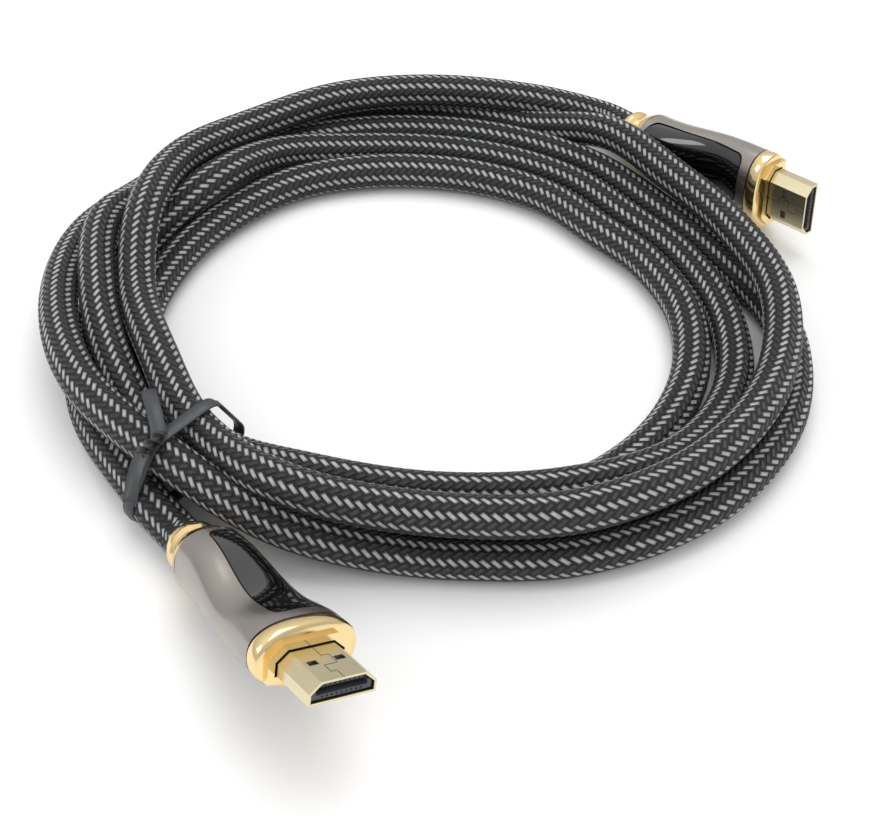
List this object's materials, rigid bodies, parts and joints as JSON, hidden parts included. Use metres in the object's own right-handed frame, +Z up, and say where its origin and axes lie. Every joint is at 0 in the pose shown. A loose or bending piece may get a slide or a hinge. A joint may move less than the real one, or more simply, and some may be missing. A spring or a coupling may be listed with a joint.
{
  "type": "audio video cable",
  "caption": "Braided audio video cable wound in a loose coil under a twist tie, with a waisted metal-shelled plug at each end.",
  "frame": {"origin": "on the ground plane, under the middle of the whole part's box", "axes": "+Z up out of the coil, +Y away from the camera of the picture, +X to its right"},
  "size_m": [0.192, 0.2226, 0.0277],
  "materials": {
    "braid": "woven black and grey braid sleeve",
    "tie_plastic": "satin",
    "gold_plate": "polished gold plate",
    "gunmetal_shell": "satin gunmetal",
    "black_inlay": "gloss black",
    "plated_plug": "pale gold plated sheet steel",
    "insert_plastic": "moulded dark grey"
  },
  "bodies": {
    "root": {"braided_cable": "braid", "twist_tie": "tie_plastic", "front_rear_collar": "gold_plate", "front_housing_shell": "gunmetal_shell", "front_top_inlay": "black_inlay", "front_front_bezel": "gold_plate", "front_plug_shell": "plated_plug", "front_contact_insert": "insert_plastic", "back_rear_collar": "gold_plate", "back_housing_shell": "gunmetal_shell", "back_top_inlay": "black_inlay", "back_front_bezel": "gold_plate", "back_plug_shell": "plated_plug", "back_contact_insert": "insert_plastic"}
  },
  "joints": []
}
